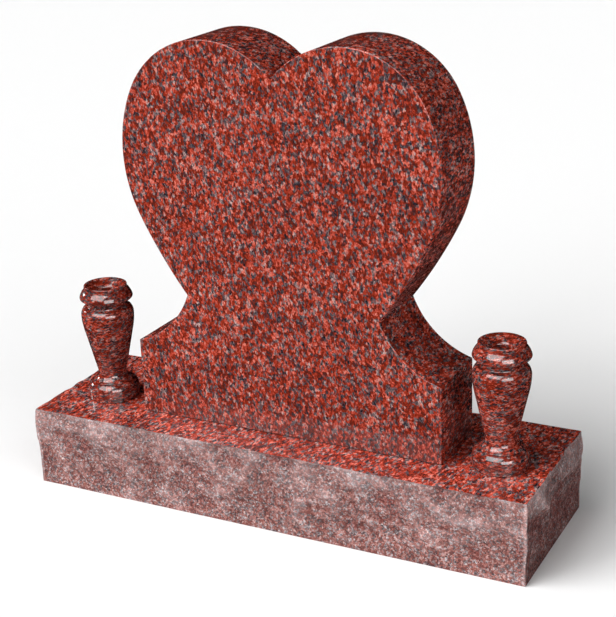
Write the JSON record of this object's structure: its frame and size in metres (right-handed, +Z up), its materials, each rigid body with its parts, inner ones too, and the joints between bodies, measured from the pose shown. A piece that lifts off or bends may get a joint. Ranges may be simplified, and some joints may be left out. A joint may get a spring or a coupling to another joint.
{
  "type": "heart headstone",
  "caption": "Polished red granite heart-shaped headstone with a flared foot, on a rock-pitched base with turned flower vases beside it.",
  "frame": {"origin": "middle of the base's underside", "axes": "+X along the base to the right as seen from the front, +Y to the back, +Z up; the heart's face looks along -Y"},
  "size_m": [1.0163, 0.3148, 0.8745],
  "materials": {
    "pitched_granite": "rock-pitched and unpolished on the sides, polished on top",
    "polished_granite": "mirror-polished red granite",
    "turned_granite": "turned and mirror-polished red granite"
  },
  "bodies": {
    "root": {"base": "pitched_granite", "tablet": "polished_granite", "vase_left": "turned_granite", "vase_right": "turned_granite"}
  },
  "joints": []
}
